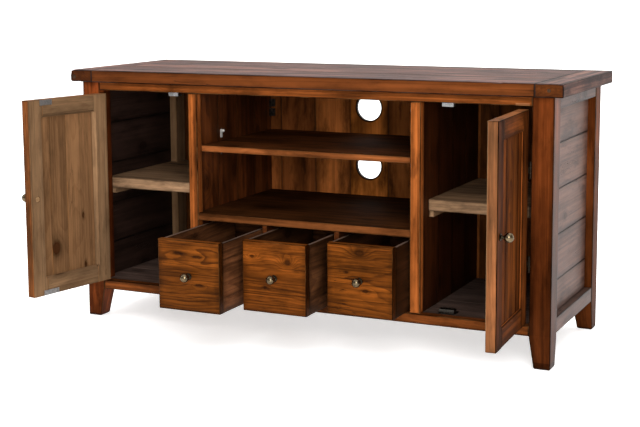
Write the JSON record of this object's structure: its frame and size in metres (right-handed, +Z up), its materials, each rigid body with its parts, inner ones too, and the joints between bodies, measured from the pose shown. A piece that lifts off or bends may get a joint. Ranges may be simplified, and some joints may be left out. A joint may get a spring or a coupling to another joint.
{
  "type": "media console",
  "caption": "Rustic plank media console with two framed cupboard doors, open media bays with cable ports, and box drawers below.",
  "frame": {"origin": "on the floor, at the centre of the rectangle that the top covers", "axes": "+X to the viewer's right along the width, +Y to the back, +Z up; the doors and drawers face -Y"},
  "size_m": [1.4, 0.7667, 0.7],
  "materials": {
    "stained_pine": "satin varnish over orange-brown stain",
    "weathered_pine_top": "worn satin varnish, greyed brown",
    "weathered_pine_side": "worn satin varnish, greyed brown",
    "dark_pine": "dark stain, thin varnish",
    "unfinished_pine": "unfinished, lightly waxed",
    "catch_steel": "zinc plate",
    "antique_brass": "antique, rubbed"
  },
  "bodies": {
    "carcass": {"top_planks": "weathered_pine_top", "breadboard_left": "weathered_pine_top", "breadboard_right": "weathered_pine_top", "leg_front_left": "stained_pine", "leg_front_right": "stained_pine", "leg_rear_left": "stained_pine", "leg_rear_right": "stained_pine", "front_top_rail": "stained_pine", "front_bottom_rail": "stained_pine", "back_top_rail": "dark_pine", "side_rails": "weathered_pine_side", "side_planks_left": "weathered_pine_side", "side_planks_right": "weathered_pine_side", "back_planks": "dark_pine", "back_plank_ported": "dark_pine", "partition_left": "dark_pine", "partition_right": "dark_pine", "partition_stiles": "stained_pine", "floor_boards": "dark_pine", "floor_bearers": "unfinished_pine", "media_shelf_upper": "stained_pine", "media_shelf_lower": "stained_pine", "cupboard_shelf_left": "unfinished_pine", "cupboard_shelf_right": "unfinished_pine", "shelf_cleats": "unfinished_pine", "shelf_pins": "catch_steel", "drawer_dividers": "dark_pine", "drawer_guides": "unfinished_pine", "corner_brackets": "catch_steel", "catches": "catch_steel", "hinge_frame_leaves": "antique_brass", "hinge_pins": "antique_brass", "top_pegs": "dark_pine"},
    "door_left": {"door_left_stiles": "stained_pine", "door_left_rails": "stained_pine", "door_left_planks": "stained_pine", "door_left_knob": "antique_brass", "door_left_hinge_leaves": "antique_brass", "door_left_strikes": "catch_steel"},
    "door_right": {"door_right_stiles": "stained_pine", "door_right_rails": "stained_pine", "door_right_planks": "stained_pine", "door_right_knob": "antique_brass", "door_right_hinge_leaves": "antique_brass", "door_right_strikes": "catch_steel"},
    "drawer_left": {"drawer_left_front": "stained_pine", "drawer_left_sides": "dark_pine", "drawer_left_back": "dark_pine", "drawer_left_bottom": "unfinished_pine", "drawer_left_knob": "antique_brass"},
    "drawer_middle": {"drawer_middle_front": "stained_pine", "drawer_middle_sides": "dark_pine", "drawer_middle_back": "dark_pine", "drawer_middle_bottom": "unfinished_pine", "drawer_middle_knob": "antique_brass"},
    "drawer_right": {"drawer_right_front": "stained_pine", "drawer_right_sides": "dark_pine", "drawer_right_back": "dark_pine", "drawer_right_bottom": "unfinished_pine", "drawer_right_knob": "antique_brass"}
  },
  "joints": [
    {"name": "door_left_hinge", "type": "hinge", "parent": "carcass", "child": "door_left", "pos_m": [-0.61825, -0.2338, 0], "axis": [0, 0, -1], "range_deg": [-101, 69]},
    {"name": "door_right_hinge", "type": "hinge", "parent": "carcass", "child": "door_right", "pos_m": [0.61825, -0.2338, 0], "axis": [0, 0, 1], "range_deg": [-93, 77]},
    {"name": "drawer_left_slide", "type": "slide", "parent": "carcass", "child": "drawer_left", "axis": [0, -1, 0], "range_m": [-0.219, 0.081]},
    {"name": "drawer_middle_slide", "type": "slide", "parent": "carcass", "child": "drawer_middle", "axis": [0, -1, 0], "range_m": [-0.151, 0.149]},
    {"name": "drawer_right_slide", "type": "slide", "parent": "carcass", "child": "drawer_right", "axis": [0, -1, 0], "range_m": [-0.092, 0.208]}
  ]
}
